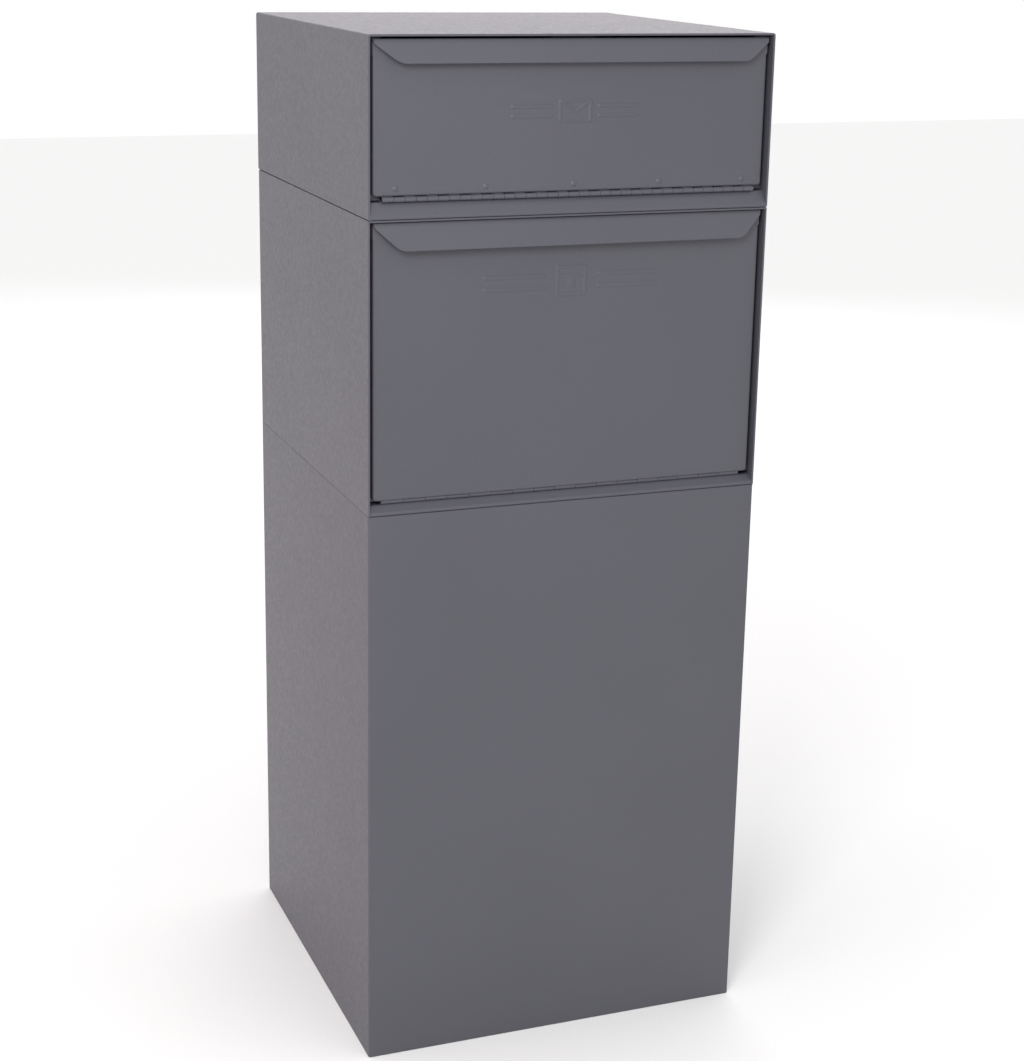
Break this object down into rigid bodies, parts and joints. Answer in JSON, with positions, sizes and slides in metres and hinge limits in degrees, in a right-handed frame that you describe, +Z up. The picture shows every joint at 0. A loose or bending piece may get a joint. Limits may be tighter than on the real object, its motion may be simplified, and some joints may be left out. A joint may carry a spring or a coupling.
{
  "type": "pedestal mail and parcel drop vault",
  "caption": "Free-standing sheet-metal drop vault: mail door above a tilting parcel hopper on a tall locked pedestal.",
  "frame": {"origin": "centre of the anchor bolt pattern, on the pad the vault stands on", "axes": "+Z up, the two front doors face -Y, +X towards the right side as seen facing the doors"},
  "size_m": [0.42, 0.4307, 1.054],
  "materials": {
    "powder_coat": "fine-textured satin grey powder coat",
    "painted_hinge": "grey powder coat over steel hinge leaf",
    "zinc_steel": "bright zinc plate",
    "pin_steel": "drawn stainless wire",
    "lock_chrome": "nickel-chrome plate",
    "rubber": "matte black rubber",
    "black_plastic": "matte moulded plastic",
    "magnet": "ground ferrite and steel"
  },
  "bodies": {
    "cabinet": {"pedestal_shell": "powder_coat", "base_plate": "powder_coat", "rear_header": "powder_coat", "rear_sill": "powder_coat", "package_shell": "powder_coat", "package_sill": "powder_coat", "package_header": "powder_coat", "package_jamb_left": "powder_coat", "package_jamb_right": "powder_coat", "mail_hood": "powder_coat", "mail_back_panel": "powder_coat", "mail_sill": "powder_coat", "mail_ramp": "powder_coat", "anti_fishing_baffle": "powder_coat", "mail_jamb_left": "powder_coat", "mail_jamb_right": "powder_coat", "rear_hinge_frame_leaf": "painted_hinge", "package_hinge_frame_leaf": "painted_hinge", "mail_hinge_frame_leaf": "painted_hinge", "mail_back_rivets": "painted_hinge", "base_studs": "zinc_steel", "base_nuts": "zinc_steel", "rear_frame_rivets": "zinc_steel", "pedestal_stack_bolts": "zinc_steel", "pedestal_stack_nuts": "zinc_steel", "mail_stack_bolts": "zinc_steel", "mail_stack_nuts": "zinc_steel", "rear_hinge_pin": "pin_steel", "package_hinge_pin": "pin_steel", "mail_hinge_pin": "pin_steel", "rear_door_seals": "rubber", "hopper_bumpers": "rubber", "mail_bumpers": "rubber", "catch_housing": "black_plastic", "catch_magnet": "magnet"},
    "mail_door": {"mail_door_pan": "powder_coat", "mail_hinge_door_leaf": "painted_hinge", "mail_hinge_rivets": "painted_hinge", "mail_door_stays": "zinc_steel", "catch_strike": "zinc_steel"},
    "package_hopper": {"package_door_pan": "powder_coat", "hopper_tray": "powder_coat", "hopper_cheek_left": "powder_coat", "hopper_cheek_right": "powder_coat", "package_hinge_door_leaf": "painted_hinge", "hopper_rivets": "zinc_steel"},
    "rear_door": {"rear_door_pan": "powder_coat", "rear_door_stiffener": "powder_coat", "rear_hinge_door_leaf": "painted_hinge", "rear_door_rivets": "zinc_steel", "lock_body": "lock_chrome", "lock_nut": "lock_chrome"},
    "lock_cylinder": {"lock_plug": "lock_chrome", "lock_cam": "zinc_steel", "lock_screw": "zinc_steel"}
  },
  "joints": [
    {"name": "mail_door_hinge", "type": "hinge", "parent": "cabinet", "child": "mail_door", "pos_m": [0, -0.2049, 0.901], "axis": [1, 0, 0], "range_deg": [0, 90]},
    {"name": "package_hopper_hinge", "type": "hinge", "parent": "cabinet", "child": "package_hopper", "pos_m": [0, -0.2009, 0.6045], "axis": [1, 0, 0], "range_deg": [0, 55]},
    {"name": "rear_door_hinge", "type": "hinge", "parent": "cabinet", "child": "rear_door", "pos_m": [-0.187, 0.2073, 0.296], "axis": [0, 0, 1], "range_deg": [0, 165]},
    {"name": "lock_turn", "type": "hinge", "parent": "rear_door", "child": "lock_cylinder", "pos_m": [0.16, 0.205, 0.3], "axis": [0, 1, 0], "range_deg": [0, 90]}
  ]
}
